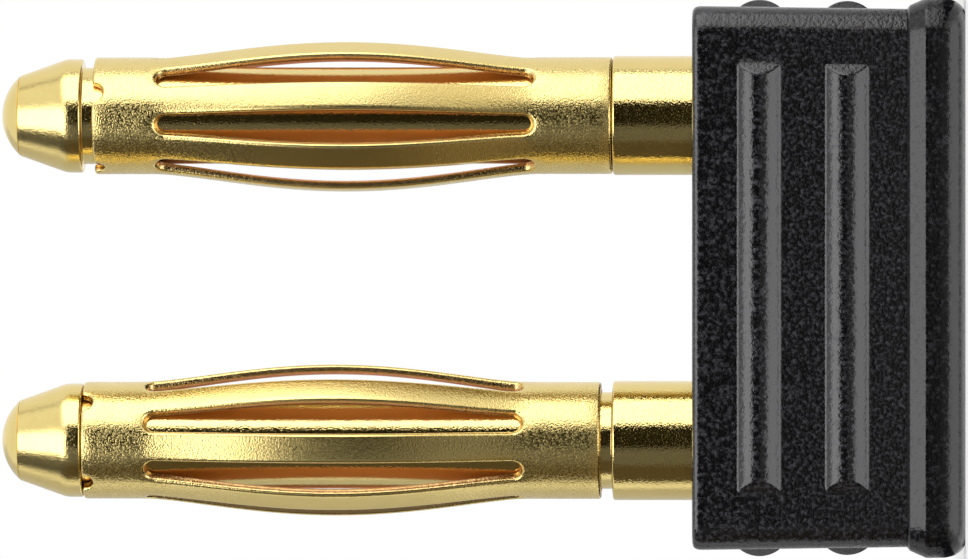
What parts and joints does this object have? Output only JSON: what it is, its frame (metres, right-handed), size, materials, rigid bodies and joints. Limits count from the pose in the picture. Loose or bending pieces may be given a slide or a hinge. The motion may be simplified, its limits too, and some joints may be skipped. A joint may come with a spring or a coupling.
{
  "type": "shorting jumper plug",
  "caption": "Shorting jumper plug: round contact pins with bowed, slotted spring sleeves stand side by side on a ribbed black grip that bridges them inside.",
  "frame": {"origin": "centre of the flat back of the end cap, which the plug stands on", "axes": "+Z along the pins towards their tips, X along the row of the two pins, Y through the thickness of the grip"},
  "size_m": [0.017, 0.007, 0.0297],
  "materials": {
    "grip_body": "black moulded plastic with a fine spark-eroded grain",
    "grip_cap": "black moulded plastic, smoother than the body",
    "bar": "plain brass strip",
    "pin": "turned and gold plated, bright",
    "sleeve": "gold plated spring sheet, finely grained"
  },
  "bodies": {
    "plug": {"housing": "grip_body", "end_cap": "grip_cap", "shorting_bar": "bar", "contact_pin_a": "pin", "contact_pin_b": "pin"},
    "sleeve_a": {"spring_sleeve_a": "sleeve"},
    "sleeve_b": {"spring_sleeve_b": "sleeve"}
  },
  "joints": [
    {"name": "sleeve_a_turn", "type": "hinge", "parent": "plug", "child": "sleeve_a", "pos_m": [0.005, 0, 0.019], "axis": [0, 0, 1], "continuous": true},
    {"name": "sleeve_b_turn", "type": "hinge", "parent": "plug", "child": "sleeve_b", "pos_m": [-0.005, 0, 0.019], "axis": [0, 0, 1], "continuous": true}
  ]
}
